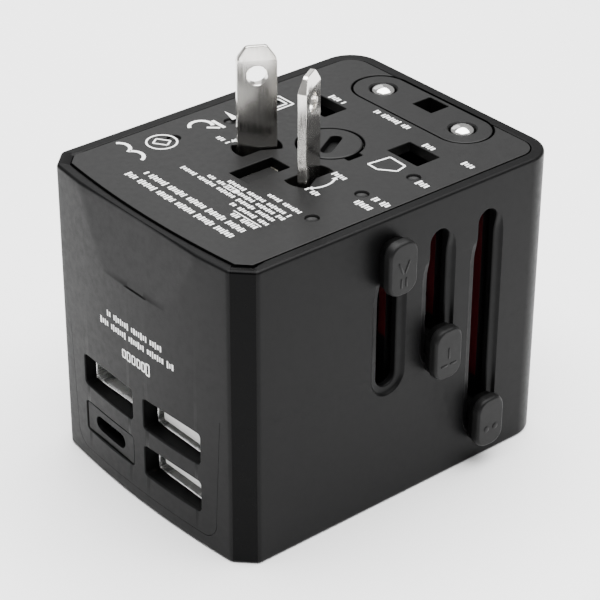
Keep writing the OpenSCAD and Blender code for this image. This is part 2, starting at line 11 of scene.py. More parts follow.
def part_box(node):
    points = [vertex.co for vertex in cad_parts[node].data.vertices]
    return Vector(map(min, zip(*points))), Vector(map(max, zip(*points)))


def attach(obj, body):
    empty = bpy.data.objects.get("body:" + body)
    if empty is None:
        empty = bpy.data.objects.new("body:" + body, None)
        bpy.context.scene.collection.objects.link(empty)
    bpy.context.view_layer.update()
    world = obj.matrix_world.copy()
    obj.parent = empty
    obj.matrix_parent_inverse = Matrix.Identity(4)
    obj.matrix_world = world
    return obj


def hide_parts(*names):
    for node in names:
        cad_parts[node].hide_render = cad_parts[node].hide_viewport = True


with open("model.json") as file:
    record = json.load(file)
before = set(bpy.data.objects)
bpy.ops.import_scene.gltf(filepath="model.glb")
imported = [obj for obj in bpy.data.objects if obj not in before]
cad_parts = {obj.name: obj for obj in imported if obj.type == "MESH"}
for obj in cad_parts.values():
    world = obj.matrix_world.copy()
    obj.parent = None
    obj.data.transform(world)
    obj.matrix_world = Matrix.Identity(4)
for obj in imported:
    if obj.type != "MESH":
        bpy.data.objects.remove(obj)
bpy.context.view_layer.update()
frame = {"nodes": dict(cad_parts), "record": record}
MM = 0.001

# ---------------------------------------------------------------- sizes

UPPER_LOW, UPPER_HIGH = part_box("upper_housing")
LOWER_LOW, LOWER_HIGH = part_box("lower_housing")
HALF_W = UPPER_HIGH.x
BACK_Y = UPPER_HIGH.y
FRONT_Y = UPPER_LOW.y
TOP_Z = UPPER_HIGH.z
SEAM_Z = LOWER_HIGH.z
PLATE_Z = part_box("pin_face_plate")[0].z

# the USB side bulges out between flats that cut off its two corners
BULGE = 1.3 * MM
CORNER_FLAT = 3.1 * MM
CORNER_SOFT = 0.55 * MM
BACK_RADIUS = 5.6 * MM
WALL = 1.7 * MM
RIM = 2.1 * MM
PLATE_GAP = 0.14 * MM
LEDGE_Z = PLATE_Z - 1.2 * MM
EDGE_R = 0.5 * MM
BOTTOM_EDGE_R = 0.6 * MM
FLOOR_WALL = 1.8 * MM
FRONT_WALL = 2.6 * MM
FLAT_Y = FRONT_Y + BULGE
BULGE_RADIUS = ((HALF_W - CORNER_FLAT) ** 2 + BULGE ** 2) / (2 * BULGE)

# slots of the sliders and the necks of their knobs
SLOT_HALF = 1.95 * MM
SLOT_REACH = 0.3 * MM
NECK_HALF_H = 1.7 * MM
NECK_HALF_W = 1.65 * MM
NECK_CUT = 0.9 * MM
DISH_LIFT = 0.62 * MM
DISH_FADE = 4.5 * MM

# tongue of the upper housing that reaches down between the lower housing's side walls
TONGUE_TOP = 19.3 * MM
TONGUE_LOW = 18.25 * MM
TONGUE_Z = UPPER_LOW.z
TONGUE_R = 3 * MM
HALF_SEAM = 0.004 * MM
HALF_TONGUE_SEAM = 0.03 * MM

PORT_HALF_W = 6.8 * MM
PORT_HALF_H = 2.75 * MM
PORT_BACK = -29.6 * MM
PORT_BLOCK = 16.6 * MM
PORT_BLOCK_TOP = 21.6 * MM

# flat facet above the ports, which leans back as it rises
FACET_LOW = 39.3 * MM
FACET_HALF = 8 * MM
FACET_TILT = 0.034
FACET_REACH = 17 * MM

BOSS_R = 2.1 * MM
SCREW_HOLE_R = 2 * MM
SHANK_HOLE_R = 1.2 * MM
EARTH_HOLE_Y = -12 * MM
BLADE_CENTRES = {side: (side * 6.35 * MM, -4.2 * MM) for side in (-1, 1)}
BLADE_TURN = math.radians(30)
FUSE_CENTRE = (0, 5.5 * MM)
CUT_REACH = 40 * MM

# ---------------------------------------------------------------- mesh helpers


def middle(node):
    """Centre of a CAD node's box."""
    low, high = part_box(node)
    return (low + high) / 2


def make_object(name, verts, faces):
    mesh = bpy.data.meshes.new(name)
    mesh.from_pydata([tuple(v) for v in verts], [], faces)
    work = bmesh.new()
    work.from_mesh(mesh)
    bmesh.ops.recalc_face_normals(work, faces=work.faces)
    work.to_mesh(mesh)
    work.free()
    obj = bpy.data.objects.new(name, mesh)
    bpy.context.scene.collection.objects.link(obj)
    return obj


def loft(name, rings):
    """Closed solid through rings of 3D points, each with the same number of points."""
    count = len(rings[0])
    verts = [point for ring in rings for point in ring]
    faces = []
    for level in range(len(rings) - 1):
        for i in range(count):
            j = (i + 1) % count
            faces.append((level * count + i, level * count + j,
                          (level + 1) * count + j, (level + 1) * count + i))
    faces.append(tuple(range(count)))
    faces.append(tuple((len(rings) - 1) * count + i for i in range(count)))
    return make_object(name, verts, faces)


def offset_loop(points, inset):
    """A closed counterclockwise 2D loop, moved in by inset with mitred corners."""
    if inset == 0:
        return [Vector(p) for p in points]
    out = []
    count = len(points)
    for i in range(count):
        before = Vector(points[i]) - Vector(points[i - 1])
        after = Vector(points[(i + 1) % count]) - Vector(points[i])
        n1 = Vector((-before.y, before.x)).normalized()
        n2 = Vector((-after.y, after.x)).normalized()
        mid = (n1 + n2).normalized()
        out.append(Vector(points[i]) + mid * (inset / max(mid.dot(n1), 0.3)))
    return out


def soften(points, corners, size, steps=4):
    """Rounds the corners whose numbers are listed, starting size away from each."""
    out = []
    for i, point in enumerate(points):
        if i not in corners:
            out.append(Vector(point))
            continue
        here = Vector(point)
        a = here + (Vector(points[i - 1]) - here).normalized() * size
        b = here + (Vector(points[(i + 1) % len(points)]) - here).normalized() * size
        for k in range(steps + 1):
            s = k / steps
            out.append(a * (1 - s) ** 2 + here * (2 * s * (1 - s)) + b * s ** 2)
    return out


def arc(cx, cy, radius, start, end, steps):
    """Points on an arc, angles in degrees."""
    out = []
    for k in range(steps + 1):
        angle = math.radians(start + (end - start) * k / steps)
        out.append(Vector((cx + radius * math.cos(angle), cy + radius * math.sin(angle))))
    return out


def densify(points, step):
    """Adds points along the straight stretches of a closed loop."""
    out = []
    for i, point in enumerate(points):
        after = points[(i + 1) % len(points)]
        length = (after - point).length
        pieces = round(length / step) if length > 1.5 * step else 1
        out += [point + (after - point) * (k / pieces) for k in range(pieces)]
    return out


def ease(value, low, high):
    """Smooth step from 0 at low to 1 at high."""
    t = min(max((value - low) / (high - low), 0), 1)
    return t * t * (3 - 2 * t)


def stadium(half_run, radius, upright=False, steps=16, centre=(0, 0)):
    """Counterclockwise stadium outline about centre, long along x or, if upright, along y."""
    points = arc(half_run, 0, radius, -90, 90, steps) + arc(-half_run, 0, radius, 90, 270, steps)
    if upright:
        points = [Vector((-p.y, p.x)) for p in points]
    return [p + Vector(centre) for p in points]


def round_rect(half_w, half_h, radius, steps=6, centre=(0, 0)):
    """Counterclockwise rectangle with rounded corners about centre."""
    points = []
    for sx, sy, start in ((1, -1, -90), (1, 1, 0), (-1, 1, 90), (-1, -1, 180)):
        points += arc(sx * (half_w - radius), sy * (half_h - radius), radius, start, start + 90, steps)
    return [p + Vector(centre) for p in points]


def circle(radius, centre=(0, 0), steps=64):
    return arc(centre[0], centre[1], radius, 0, 360 - 360 / steps, steps - 1)


def turned(loop, centre, angle):
    """The loop turned by angle about the origin, then moved to centre."""
    c, s = math.cos(angle), math.sin(angle)
    return [Vector((centre[0] + p.x * c - p.y * s, centre[1] + p.x * s + p.y * c)) for p in loop]


def at_z(points, z):
    return [Vector((p.x, p.y, z)) for p in points]


def at_x(points, x):
    """A loop seen from the side, as a ring in the plane at x."""
    return [Vector((x, p.x, p.y)) for p in points]


def at_y(points, y):
    """A loop seen from the front, as a ring in the plane at y."""
    return [Vector((p.x, y, p.y)) for p in points]


def tall(name, loop, low, high):
    """Upright prism from low to high."""
    return loft(name, [at_z(loop, low), at_z(loop, high)])


def block(name, low, high):
    (x0, y0, z0), (x1, y1, z1) = low, high
    square = [Vector((x0, y0)), Vector((x1, y0)), Vector((x1, y1)), Vector((x0, y1))]
    return tall(name, square, z0, z1)


def boolean(obj, cutter, operation="DIFFERENCE"):
    """Cuts obj with cutter, or joins them, and removes the cutter."""
    modifier = obj.modifiers.new("cut", "BOOLEAN")
    modifier.operation = operation
    modifier.solver = "EXACT"
    modifier.object = cutter
    bpy.context.view_layer.update()
    graph = bpy.context.evaluated_depsgraph_get()
    mesh = bpy.data.meshes.new_from_object(obj.evaluated_get(graph))
    obj.modifiers.clear()
    old = obj.data
    obj.data = mesh
    bpy.data.meshes.remove(old)
    bpy.data.objects.remove(cutter)


def smooth(obj, angle=32, weighted=True):
    """Smooth shading with sharp edges kept, and flat faces kept flat."""
    for polygon in obj.data.polygons:
        polygon.use_smooth = True
    obj.data.set_sharp_from_angle(angle=math.radians(angle))
    if weighted:
        modifier = obj.modifiers.new("normals", "WEIGHTED_NORMAL")
        modifier.keep_sharp = True
        modifier.weight = 80


def bevelled(obj, width, segments=2, angle=35):
    """Eases the sharp edges of obj with a modifier."""
    modifier = obj.modifiers.new("bevel", "BEVEL")
    modifier.width = width
    modifier.segments = segments
    modifier.limit_method = "ANGLE"
    modifier.angle_limit = math.radians(angle)
    modifier.harden_normals = True


def finish_piece(obj, body, material, replaced=()):
    """Gives a piece its material, the body it rides on and the CAD nodes it stands for."""
    obj.data.materials.clear()
    obj.data.materials.append(material)
    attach(obj, body)
    if replaced:
        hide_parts(*replaced)
    return obj


# ---------------------------------------------------------------- materials


class Nodes:
    """A small helper that adds and links shader nodes."""

    def __init__(self, name):
        self.material = bpy.data.materials.new(name)
        self.material.use_nodes = True
        self.tree = self.material.node_tree
        self.shader = self.tree.nodes["Principled BSDF"]
        self.coords = self.add("ShaderNodeTexCoord").outputs["Object"]

    def add(self, kind, **values):
        node = self.tree.nodes.new(kind)
        for key, value in values.items():
            if key in node.inputs:
                node.inputs[key].default_value = value
            else:
                setattr(node, key, value)
        return node

    def link(self, a, b):
        self.tree.links.new(a, b)

    def set(self, **values):
        for key, value in values.items():
            self.shader.inputs[key.replace("_", " ")].default_value = value

    def noise(self, scale, detail=2.0, rough=0.5, stretch=None):
        node = self.add("ShaderNodeTexNoise")
        node.inputs["Scale"].default_value = scale
        node.inputs["Detail"].default_value = detail
        node.inputs["Roughness"].default_value = rough
        source = self.coords
        if stretch:
            mapping = self.add("ShaderNodeMapping")
            mapping.inputs["Scale"].default_value = stretch
            self.link(source, mapping.inputs["Vector"])
            source = mapping.outputs["Vector"]
        self.link(source, node.inputs["Vector"])
        return node.outputs["Fac"]

    def ramp(self, source, low, high, from_low=0.0, from_high=1.0):
        node = self.add("ShaderNodeMapRange")
        node.inputs["From Min"].default_value = from_low
        node.inputs["From Max"].default_value = from_high
        node.inputs["To Min"].default_value = low
        node.inputs["To Max"].default_value = high
        self.link(source, node.inputs["Value"])
        return node.outputs["Result"]

    def mix(self, factor, a, b):
        """Mixes two colours, given as sockets or as values."""
        node = self.add("ShaderNodeMix", data_type="RGBA")
        for socket, value in zip([k for k in node.inputs if k.type == "RGBA"], (a, b)):
            if isinstance(value, tuple):
                socket.default_value = (*value, 1)
            else:
                self.link(value, socket)
        self.link(factor, node.inputs["Factor"])
        return next(k for k in node.outputs if k.type == "RGBA")

    def calculate(self, operation, a, b=None):
        node = self.add("ShaderNodeMath", operation=operation)
        for socket, value in zip(node.inputs, (a, b)):
            if isinstance(value, (int, float)):
                socket.default_value = value
            elif value is not None:
                self.link(value, socket)
        return node.outputs[0]

    def split(self, vector):
        node = self.add("ShaderNodeSeparateXYZ")
        self.link(vector, node.inputs[0])
        return node.outputs

    def place(self):
        """Sockets with the x, y and z of the point in the object's own space."""
        return self.split(self.coords)

    def facing(self):
        """Sockets with the x, y and z of the normal in the object's own space."""
        return self.split(self.add("ShaderNodeTexCoord").outputs["Normal"])

    def bump(self, height, strength, distance):
        node = self.add("ShaderNodeBump")
        node.inputs["Strength"].default_value = strength
        node.inputs["Distance"].default_value = distance
        self.link(height, node.inputs["Height"])
        self.link(node.outputs["Normal"], self.shader.inputs["Normal"])


def painted_pit_shade(n):
    """Mask of painted shade: 1 in openings and on the walls of a flat face's holes, 0 on the face itself."""
    deep = n.ramp(n.place()["Z"], 1, 0, TOP_Z - 0.8 * MM, TOP_Z - 0.3 * MM)
    wall = n.ramp(n.calculate("ABSOLUTE", n.facing()["Z"]), 1, 0, 0.3, 0.6)
    return n.calculate("MAXIMUM", deep, wall)


def painted_root_shade(n):
    """Mask of painted shade: 1 on the half of a knob next to the housing."""
    return n.ramp(n.place()["X"], 1, 0, HALF_W + 1.35 * MM, HALF_W + 1.75 * MM)


def red_shade(n):
    """1 where the guide frame is black: below the red strips and on all but one side of each rail."""
    place = n.place()
    back_slot = n.ramp(place["Y"], 0, 1, 12 * MM, 12.01 * MM)
    limit = n.ramp(back_slot, 29 * MM, 13.5 * MM)
    below = n.calculate("LESS_THAN", place["Z"], limit)
    away = n.ramp(n.facing()["Y"], 0, 1, -0.6, -0.3)
    return n.calculate("MAXIMUM", below, away)


def moulded(name, dark, light, rough, grain=0.25, scale=5200, specular=0.5, shade=None):
    """Injection moulded plastic with a fine spark-eroded grain and faint rub marks."""
    n = Nodes(name)
    colour = n.mix(n.noise(420, 3), dark, light)
    # painted shade: where the shade mask is 1, the colour goes to near black
    if shade:
        colour = n.mix(shade(n), colour, (0.0012,) * 3)
    n.link(colour, n.shader.inputs["Base Color"])
    n.link(n.ramp(n.noise(900, 4, 0.6), rough - 0.05, rough + 0.07, 0.3, 0.7), n.shader.inputs["Roughness"])
    n.set(Specular_IOR_Level=specular)
    n.bump(n.noise(scale, 3, 0.7), grain, 0.02 * MM)
    return n.material


def metal(name, colour, tint, rough, stretch=(1, 1, 0.04), scale=2600, strength=0.12):
    """Plated or rolled metal with fine lines along Z."""
    n = Nodes(name)
    n.set(Metallic=1.0)
    n.link(n.mix(n.noise(260, 3), colour, tint), n.shader.inputs["Base Color"])
    lines = n.noise(scale, 3, 0.6, stretch)
    n.link(n.ramp(lines, rough, rough + 0.12, 0.3, 0.75), n.shader.inputs["Roughness"])
    n.bump(n.noise(scale, 2, 0.6, stretch), strength, 0.01 * MM)
    return n.material


def glossy(name, dark, light, rough, coat=0.3, shade=None):
    """Smooth plastic or lacquer with a clear coat and slow ripples."""
    n = Nodes(name)
    colour = n.mix(n.noise(300, 2), dark, light)
    if shade:
        colour = n.mix(shade(n), colour, (0.0008,) * 3)
    n.link(colour, n.shader.inputs["Base Color"])
    n.link(n.ramp(n.noise(700, 3), rough, rough + 0.08), n.shader.inputs["Roughness"])
    n.set(Coat_Weight=coat, Coat_Roughness=0.12)
    n.bump(n.noise(1500, 2), 0.08, 0.02 * MM)
    return n.material


def printed(name):
    """White pad-printed ink, a little uneven."""
    n = Nodes(name)
    n.link(n.mix(n.noise(2400, 4), (0.72, 0.72, 0.71), (0.86, 0.86, 0.85)), n.shader.inputs["Base Color"])
    n.set(Roughness=0.55)
    n.bump(n.noise(5000, 3), 0.2, 0.01 * MM)
    return n.material


def clear_glass(name):
    """Thin clear glass with a faint green tint."""
    n = Nodes(name)
    n.link(n.mix(n.noise(200, 2), (0.86, 0.9, 0.88), (0.93, 0.96, 0.95)), n.shader.inputs["Base Color"])
    n.set(Roughness=0.05, Transmission_Weight=0.9)
    return n.material


def grey(value, blue=0.0):
    """A near neutral grey, with a little more in its blue channel if blue is given."""
    return value, value, value + blue


HOUSING = moulded("housing_black", grey(0.0020, 0.0001), grey(0.0029, 0.0001), 0.40, specular=0.085)
# corner strips: a smoother plastic of their own, with a darker colour that is partly a painted reflection of
# dark surroundings
STRIP = moulded("housing_strip", grey(0.0008, 0.0001), grey(0.0014, 0.0001), 0.22, grain=0.1, specular=0.05)
# plate, fuse lid and pin block: painted shade darkens their holes, openings and hole walls
PLATE = moulded("plate_black", grey(0.0060), grey(0.0085), 0.44, grain=0.4, scale=4200, specular=0.18,
                shade=painted_pit_shade)
TOP_PIN = moulded("earth_pin_black", grey(0.0060), grey(0.0085), 0.44, specular=0.18)
# painted shade darkens the half of each knob next to the housing
KNOB = moulded("knob_black", grey(0.0042), grey(0.0060), 0.44, grain=0.3, specular=0.12, shade=painted_root_shade)
INNER = moulded("inner_black", grey(0.0030), grey(0.0050), 0.5, grain=0.15, specular=0.2)
RED = glossy("guide_red", (0.030, 0.002, 0.003), (0.045, 0.003, 0.004), 0.35, coat=0.0, shade=red_shade)
NICKEL = metal("nickel_plate", (0.74, 0.72, 0.68), (0.82, 0.80, 0.77), 0.13)
TIP = metal("bright_tip", (0.86, 0.85, 0.83), (0.92, 0.91, 0.90), 0.06, strength=0.03)
BRASS = metal("brass_strip", (0.70, 0.50, 0.22), (0.80, 0.60, 0.30), 0.25)
STEEL = metal("steel_bright", grey(0.60), grey(0.70), 0.2, stretch=(1, 0.05, 1))
NYLON = moulded("hub_plastic", (0.62, 0.60, 0.52), (0.70, 0.68, 0.60), 0.45, grain=0.1)
SLEEVE = glossy("sleeve_black", grey(0.012), grey(0.02), 0.25)
GLASS = clear_glass("fuse_glass")
SHUTTER = moulded("shutter_white", (0.66, 0.64, 0.58), (0.74, 0.72, 0.66), 0.45, grain=0.1)
BOARD = glossy("board_green", (0.01, 0.09, 0.03), (0.02, 0.13, 0.05), 0.3)
PORT_WHITE = moulded("port_white", (0.70, 0.70, 0.68), (0.78, 0.78, 0.76), 0.35, grain=0.05, scale=3000)
PORT_BLACK = moulded("port_black", grey(0.0020, 0.0001), grey(0.0029, 0.0001), 0.40, specular=0.085)
TAPE = glossy("tape_yellow", (0.55, 0.36, 0.03), (0.66, 0.45, 0.05), 0.35)
FERRITE = moulded("ferrite", (0.03, 0.03, 0.032), (0.05, 0.05, 0.052), 0.6, grain=0.4)
CAPACITOR = glossy("capacitor_blue", (0.012, 0.02, 0.09), (0.02, 0.035, 0.13), 0.25)
INK = printed("white_ink")
GOLD = metal("gold_contact", (0.75, 0.55, 0.22), (0.82, 0.62, 0.28), 0.2)

# ---------------------------------------------------------------- housing outline


def bulge_y(x):
    """Y of the bulged USB side at x."""
    return FRONT_Y + BULGE_RADIUS - math.sqrt(BULGE_RADIUS ** 2 - x ** 2)


def on_bulge(points, depth):
    """A loop seen from the front, as a ring at a depth behind the bulged USB side."""
    return [Vector((p.x, bulge_y(p.x) + depth, p.y)) for p in points]


def base_outline():
    """Counterclockwise outline of the housing seen from above, before its corners are softened."""
    edge = HALF_W - CORNER_FLAT
    points = [Vector((-HALF_W, FLAT_Y + CORNER_FLAT))]
    first = len(points)
    steps = 110
    inner = edge - 2 * CORNER_SOFT - 0.1 * MM
    for x in [-edge] + [-inner + 2 * inner * k / steps for k in range(steps + 1)] + [edge]:
        points.append(Vector((x, bulge_y(x))))
    last = len(points) - 1
    points.append(Vector((HALF_W, FLAT_Y + CORNER_FLAT)))
    points.append(Vector((HALF_W, FLAT_Y + 2 * CORNER_FLAT)))
    corners = {0, first, last, last + 1}
    r = BACK_RADIUS
    points += arc(HALF_W - r, BACK_Y - r, r, 0, 90, 14)
    points += arc(r - HALF_W, BACK_Y - r, r, 90, 180, 14)
    points.append(Vector((-HALF_W, FLAT_Y + 2 * CORNER_FLAT)))
    return points, corners


BASE, CORNERS = base_outline()


def outline(inset=0.0):
    """Outline of the housing moved in by inset, with the corner flats' edges softened."""
    return soften(offset_loop(BASE, inset), CORNERS, max(CORNER_SOFT - inset * 0.4, 0.1 * MM))


def outline_at(inset, z):
    return at_z(outline(inset), z)


def rounded_levels(low, high, low_r, high_r, steps=5):
    """(inset, height) pairs up a wall whose bottom and top edges are rounded."""
    angles = [math.pi / 2 * k / steps for k in range(steps + 1)]
    bottom = [(low_r * (1 - math.sin(angle)), low + low_r * (1 - math.cos(angle))) for angle in angles]
    top = [(high_r * (1 - math.cos(angle)), high - high_r * (1 - math.sin(angle))) for angle in angles]
    return bottom, top


def facet_depth(x, z):
    """How far the flat facet above the ports lies behind the bulge of the USB side."""
    if z < FACET_LOW - 0.01 * MM or abs(x) > FACET_REACH:
        return 0
    return max(bulge_y(FACET_HALF) + (z - FACET_LOW) * FACET_TILT - bulge_y(x), 0)


def plan_solid(name, levels):
    """Solid with the housing's outline at each (inset, height) level, and the facet in its USB side."""
    rings = []
    for inset, z in levels:
        share = 1 - 0.6 * inset / EDGE_R
        rings.append([Vector((p.x, p.y + (facet_depth(p.x, z) * share if p.y < FLAT_Y + inset else 0), z))
                      for p in outline(inset)])
    return loft(name, rings)


# ---------------------------------------------------------------- housing cuts


def slot_span(knob, joint_low, joint_high):
    """Y and the lowest and highest Z of the slot that a knob's neck runs in."""
    centre = middle(knob)
    end = NECK_HALF_H + SLOT_REACH
    return centre.y, centre.z + joint_low - end, centre.z + joint_high + end


def joint_range(name):
    return next(j["range_m"] for j in frame["record"]["behaviour"]["joints"] if j["name"] == name)


SLOTS = [slot_span(kind + "_knob", *joint_range(kind + "_slide")) for kind in ("aus_us", "uk", "eu")]

# how far out from the slot's edge, and how deep below the side, the dish round a slot runs
DISH = ((1.62, -0.3), (1.55, -0.02), (1.48, 0.03), (1.36, 0.14), (1.24, 0.30), (1.10, 0.42), (0.92, 0.50),
        (0.55, 0.55), (0.26, 0.58), (0.12, 0.63), (0.03, 0.74), (0.0, 0.9), (0.0, 5.0))
LOOP_STEP = 1.2 * MM


def slot_cutter(y, low, high):
    """Cutter for a slot and the dish round it, which fades out towards the top of the slot."""
    centre = (y, (low + high) / 2)
    half_run = (high - low) / 2 - SLOT_HALF
    rings = []
    for out, depth in ((DISH[0][0], -1.5), *DISH):
        loop = stadium(half_run, SLOT_HALF + out * MM, upright=True, centre=centre, steps=20)
        loop = densify(loop, LOOP_STEP)
        ring = []
        for p in loop:
            start = high - (8.5 if p.x < y else 5.0) * MM
            lift = 0 if depth < 0 or depth > 1 else DISH_LIFT * ease(p.y, start, start + DISH_FADE)
            ring.append(Vector((HALF_W - depth * MM + lift, p.x, p.y)))
        rings.append(ring)
    return loft("slot_cutter", rings)


PORTS = [middle(name) for name in ("usb_a_port_1", "usb_a_port_2", "usb_a_port_3", "usb_c_bezel")]


def port_cutter(centre):
    """Cutter for a port's opening, with a softened mouth that follows the bulge."""
    rings = []
    for out, depth in ((0.4, -0.4), (0.22, -0.02), (0.12, 0.04), (0.03, 0.14), (0.0, 0.28), (0.0, 5.0)):
        out *= MM
        loop = round_rect(PORT_HALF_W + out, PORT_HALF_H + out, 0.6 * MM + out, centre=centre.xz)
        rings.append(on_bulge(loop, depth * MM))
    return loft("port_cutter", rings)


def tongue_loop(gap):
    """Front view of the tongue, from its top left corner round to its top right corner."""
    low, side = TONGUE_Z - gap, TONGUE_LOW + gap
    points = [Vector((-TONGUE_TOP - gap, SEAM_Z))]
    points += arc(TONGUE_R - side, low + TONGUE_R, TONGUE_R, 180, 270, 12)
    points += arc(side - TONGUE_R, low + TONGUE_R, TONGUE_R, -90, 0, 12)
    points.append(Vector((TONGUE_TOP + gap, SEAM_Z)))
    return points


def tongue_prism(gap, top):
    """Prism along Y through the front wall, with the tongue's outline moved out by gap."""
    points = tongue_loop(gap)
    points = [Vector((points[0].x, top))] + points + [Vector((points[-1].x, top))]
    return loft("tongue_prism", [at_y(points, y) for y in (FRONT_Y - 3 * MM, FLAT_Y + 3 * MM)])


def front_below():
    """Cutter for all that is below the seam in the front wall, outside the tongue."""
    side, edge = CUT_REACH, SEAM_Z + HALF_SEAM
    points = [Vector((-side, edge)), Vector((-side, -side)), Vector((side, -side)), Vector((side, edge))]
    loop = tongue_loop(-HALF_TONGUE_SEAM)
    points += [Vector((loop[-1].x, edge))] + loop[-2:0:-1] + [Vector((loop[0].x, edge))]
    return loft("front_below", [at_y(points, y) for y in (-side, FLAT_Y + FRONT_WALL + 0.1 * MM)])


def screw_places():
    """Centres of the four housing screws."""
    low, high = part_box("housing_screws")
    radius = 1.9 * MM
    for x in (low.x + radius, high.x - radius):
        for y in (low.y + radius, high.y - radius):
            yield x, y


def cavity():
    """The inside of the housing, with the screw bosses and the thick wall round the ports left standing."""
    space = tall("cavity", outline(WALL), LOWER_LOW.z + FLOOR_WALL, LEDGE_Z)
    boolean(space, block("port_wall", (-PORT_BLOCK, 2 * FRONT_Y, 0), (PORT_BLOCK, PORT_BACK, PORT_BLOCK_TOP)))
    for place in screw_places():
        boolean(space, tall("boss", circle(BOSS_R, place, 32), -MM, TOP_Z))
    return space


def rim_ring(front, side):
    """Ring in the rim; front and side are the inset and height in mm on the USB side and on the others."""
    ring = []
    for p, q in zip(outline(front[0] * MM), outline(side[0] * MM)):
        at_front = p.y < FLAT_Y + 1.95 * CORNER_FLAT
        ring.append(Vector((*(p if at_front else q), TOP_Z + (front if at_front else side)[1] * MM)))
    return ring


def housing_shell(name):
    """Hollow block with the housing's whole height, before it is parted at the seam."""
    bottom, top = rounded_levels(LOWER_LOW.z, TOP_Z, BOTTOM_EDGE_R, EDGE_R)
    heights = [FACET_LOW - 0.25 * MM] + [FACET_LOW + k * MM for k in range(12)]
    facet = [(0, z) for z in heights if z < TOP_Z - EDGE_R - 0.2 * MM]
    shell = plan_solid(name, bottom + facet + top)
    boolean(shell, cavity())
    return shell


EU_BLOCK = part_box("eu_block")
BLOCK_CENTRE = middle("eu_block").xy
BLOCK_R = (EU_BLOCK[1].y - EU_BLOCK[0].y) / 2
BLOCK_RUN = (EU_BLOCK[1].x - EU_BLOCK[0].x) / 2 - BLOCK_R
BLOCK_GAP = 0.32 * MM


def upper_shell():
    """Upper housing: rim and ledge for the plate, tongue round the ports, slots."""
    shell = housing_shell("upper_shell")
    rim = [rim_ring((0.85, 0.08), (1.66, 0.08)), rim_ring((1.05, 0), (1.82, 0)),
           rim_ring((2.02, -0.34), (2.02, -0.12)), rim_ring((2.1, -0.5), (2.1, -0.3))]
    boolean(shell, loft("pocket", rim + [outline_at(RIM, PLATE_Z)]))
    boolean(shell, tall("ledge_hole", outline(RIM + MM), LEDGE_Z - MM, PLATE_Z + 0.2 * MM))
    bay = stadium(BLOCK_RUN, BLOCK_R + BLOCK_GAP + 0.03 * MM, centre=BLOCK_CENTRE, steps=24)
    boolean(shell, tall("block_bay", bay, SEAM_Z + 5 * MM, TOP_Z + MM))
    side = CUT_REACH
    boolean(shell, block("below", (-side, FLAT_Y + FRONT_WALL, -side), (side, side, SEAM_Z + HALF_SEAM)))
    boolean(shell, front_below())
    for centre in PORTS:
        boolean(shell, port_cutter(centre))
    for span in SLOTS:
        boolean(shell, slot_cutter(*span))
    smooth(shell)
    return shell


def lower_shell():
    """Lower housing: socket openings, screw holes, slots and the cutout for the tongue."""
    shell = housing_shell("lower_shell")
    side = CUT_REACH
    boolean(shell, block("above", (-side, -side, SEAM_Z - HALF_SEAM), (side, side, 2 * TOP_Z)))
    boolean(shell, tongue_prism(HALF_TONGUE_SEAM, SEAM_Z + 5 * MM))
    for socket_side in (-1, 1):
        boolean(shell, socket_cutter(socket_side))
    boolean(shell, funnel("earth_hole", round_rect(2.4 * MM, 4.3 * MM, 0.4 * MM, centre=(0, EARTH_HOLE_Y))))
    for place in screw_places():
        boolean(shell, funnel("screw_hole", circle(SCREW_HOLE_R, place, 32), deep=1.2 * MM))
        boolean(shell, tall("shank_hole", circle(SHANK_HOLE_R, place, 24), -MM, SEAM_Z + MM))
    for span in SLOTS:
        boolean(shell, slot_cutter(*span))
    smooth(shell)
    return shell


SOCKET_Y = middle("live_contact").y


def corner_strips(obj):
    """Gives the flats of the two front corners, and the rim above them, the second material."""
    work = bmesh.new()
    work.from_mesh(obj.data)
    root2 = math.sqrt(2)
    margin = 0.3 * MM
    near = (HALF_W + FLAT_Y + CORNER_FLAT) / root2 - margin
    far = (HALF_W - CORNER_FLAT + FLAT_Y) / root2 + margin
    edge = (HALF_W - FLAT_Y - CORNER_FLAT) / root2

    def measure(point, side):
        """How far a point is along the corner's flat, and how far out towards the corner."""
        return (side * point.x + point.y) / root2, (side * point.x - point.y) / root2

    for side in (-1, 1):
        for t in (near, far):
            faces = [f for f in work.faces if all(v.co.z > TOP_Z - 0.7 * MM for v in f.verts)]
            faces = [f for f in faces if any(measure(v.co, side)[1] > edge - 3 * MM for v in f.verts)]
            geometry = faces[:]
            for kind in ("edges", "verts"):
                geometry += dict.fromkeys(part for face in faces for part in getattr(face, kind))
            normal = Vector((side, 1, 0)).normalized()
            bmesh.ops.bisect_plane(work, geom=geometry, plane_co=normal * t, plane_no=normal)
    for face in work.faces:
        centre = face.calc_center_median()
        for side in (-1, 1):
            t, q = measure(centre, side)
            if far < t < near and q > edge - RIM - 0.1 * MM:
                face.material_index = 1
    work.to_mesh(obj.data)
    work.free()


def funnel(name, loop, deep=4 * MM, from_top=False, level=0.0):
    """Cutter for a hole in the bottom face, or in a face at level if from_top, with a softened mouth."""
    sign = -1 if from_top else 1
    rings = []
    for out, depth in ((0.25, -0.2), (0.14, -0.01), (0.06, 0.04), (0.015, 0.11), (0.0, 0.2)):
        rings.append(at_z(offset_loop(loop, -out * MM), level + sign * depth * MM))
    rings.append(at_z(offset_loop(loop, 0), level + sign * deep))
    return loft(name, rings)


def socket_cutter(side):
    """Combined opening for flat, turned flat, round and British line pins on one side of the socket."""
    tall_box = (-MM, 3 * MM)
    parts = [
        round_rect(3.6 * MM, 2.4 * MM, 0.3 * MM, centre=(side * 11.1 * MM, SOCKET_Y)),
        circle(2.6 * MM, (side * 9.5 * MM, SOCKET_Y), 48)]
    for turn in (0, 30):
        blade = round_rect(1.1 * MM, 3.7 * MM, 0.3 * MM)
        parts.append(turned(blade, (BLADE_CENTRES[side][0], SOCKET_Y), math.radians(-side * turn)))
    first = loft("socket_part", [at_z(parts[0], z) for z in tall_box])
    for part in parts[1:]:
        boolean(first, loft("socket_part", [at_z(part, z * 1.01) for z in tall_box]), "UNION")
    return first


# ---------------------------------------------------------------- pin face


